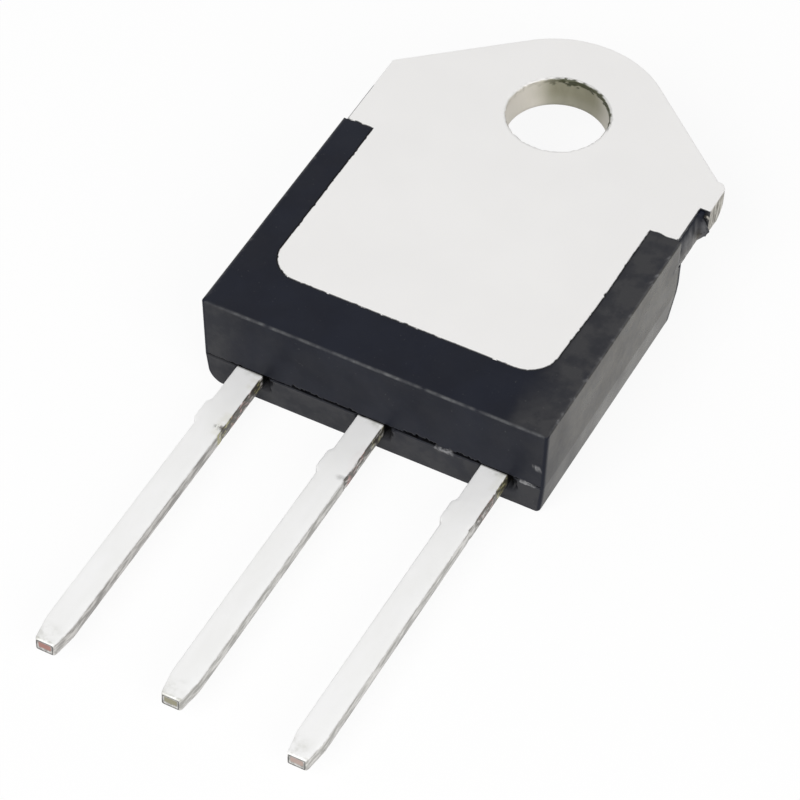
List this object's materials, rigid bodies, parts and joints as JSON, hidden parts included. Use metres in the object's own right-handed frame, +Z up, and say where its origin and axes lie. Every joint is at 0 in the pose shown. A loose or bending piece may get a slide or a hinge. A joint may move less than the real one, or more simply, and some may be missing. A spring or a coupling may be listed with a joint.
{
  "type": "triac",
  "caption": "Flat power semiconductor: black moulded body, bare metal heat slug with a rounded, holed tab, and straight flat leads in one row.",
  "frame": {"origin": "under the middle of the part's length, on the plane of the moulding's front face that it lies on, on the package's middle plane", "axes": "+X across the row of leads towards the gate lead, +Y from the lead tips to the mounting hole, +Z up to the slug's mounting face"},
  "size_m": [0.0155, 0.0366, 0.0046],
  "materials": {
    "epoxy": "matte black moulding compound",
    "plated_slug": "matte nickel plating on copper",
    "tinned_lead": "matte tin plating on copper",
    "solder": "dull solder",
    "alumina": "fired alumina",
    "silicon": "polished silicon with a glassed rim",
    "bare_copper": "bare copper"
  },
  "bodies": {
    "root": {"moulded_body": "epoxy", "heat_slug": "plated_slug", "main_lead_1": "tinned_lead", "main_lead_2": "tinned_lead", "gate_lead": "tinned_lead", "insulator_solder": "solder", "insulator": "alumina", "pad_solder": "solder", "chip_solder": "solder", "triac_chip": "silicon", "main_clip": "bare_copper", "main_clip_solder": "solder", "gate_clip": "bare_copper", "gate_clip_solder": "solder"}
  },
  "joints": []
}
